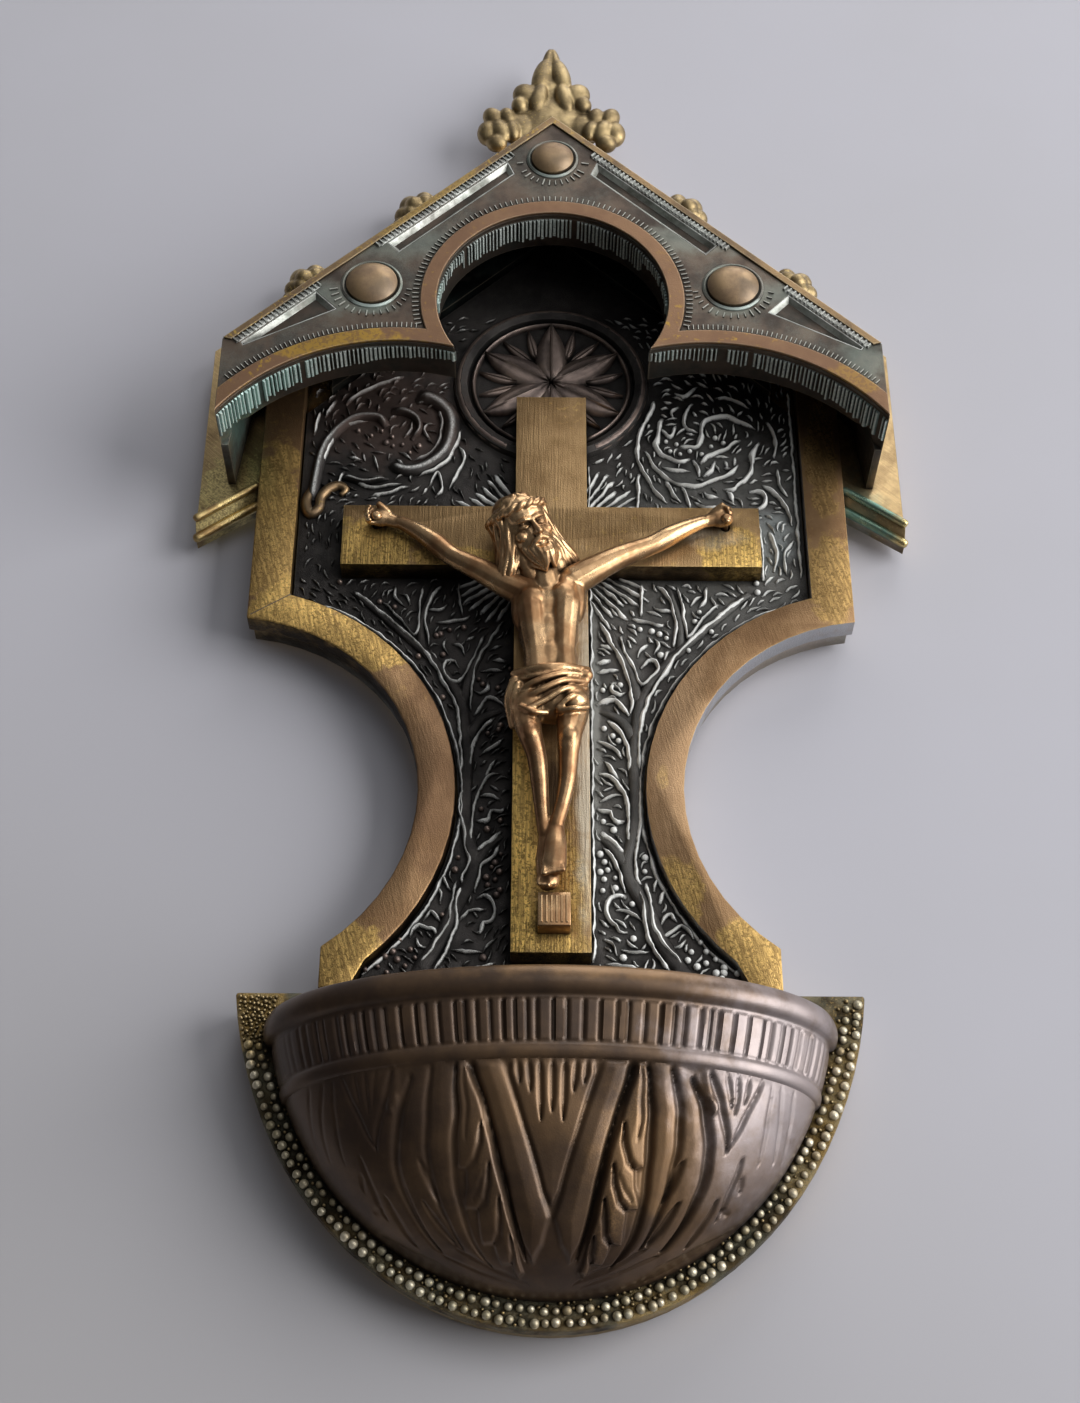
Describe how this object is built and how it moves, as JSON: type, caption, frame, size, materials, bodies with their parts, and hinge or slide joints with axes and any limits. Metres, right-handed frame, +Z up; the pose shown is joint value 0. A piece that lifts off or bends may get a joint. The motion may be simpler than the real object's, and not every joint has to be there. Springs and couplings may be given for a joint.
{
  "type": "holy water stoup",
  "caption": "Wall-hung neo-gothic holy water stoup: back plate with waisted border, relief panel with crucifix, gabled hood over an arch, and a half-dome bowl on a beaded plate.",
  "frame": {"origin": "on the flat wall face of the back plate, on the centre line, level with the top edge of the beaded plate", "axes": "+Z up, +X to the right of someone facing the stoup, +Y into the wall, so the front is towards -Y"},
  "size_m": [0.1064, 0.0249, 0.2216],
  "materials": {
    "brass": "brushed, worn gold on the edges",
    "aged_brass": "filed and browned",
    "dark_bronze": "gunmetal patina with verdigris",
    "copper_brown": "satin brown patina",
    "polished_bronze": "polished by handling",
    "steel": "slotted heads, dulled"
  },
  "bodies": {
    "stoup": {"back_plate": "brass", "border_left": "aged_brass", "border_right": "aged_brass", "relief_panel": "dark_bronze", "cross": "brass", "corpus": "polished_bronze", "foot_rest": "polished_bronze", "nail_left_hand": "polished_bronze", "nail_right_hand": "polished_bronze", "nail_feet": "polished_bronze", "canopy_hood": "dark_bronze", "boss_left": "copper_brown", "boss_right": "copper_brown", "boss_top": "copper_brown", "crocket_left_upper": "brass", "crocket_left_lower": "brass", "crocket_right_upper": "brass", "crocket_right_lower": "brass", "finial": "brass", "bead_plate": "brass", "bowl": "copper_brown", "border_screw_left_side": "steel", "border_screw_left_waist": "steel", "border_screw_left_foot": "steel", "hood_screw_left": "steel", "bowl_screw_left": "steel", "border_screw_right_side": "steel", "border_screw_right_waist": "steel", "border_screw_right_foot": "steel", "hood_screw_right": "steel", "bowl_screw_right": "steel", "bowl_screw_bottom": "steel", "cross_screw_upper": "steel", "cross_screw_lower": "steel", "finial_screw": "steel", "ring_pin": "steel"},
    "hanger": {"hanging_ring": "brass"}
  },
  "joints": [
    {"name": "ring_swing", "type": "hinge", "parent": "stoup", "child": "hanger", "pos_m": [0, -0.0016, 0.116], "axis": [1, 0, 0], "range_deg": [0, 180]}
  ]
}
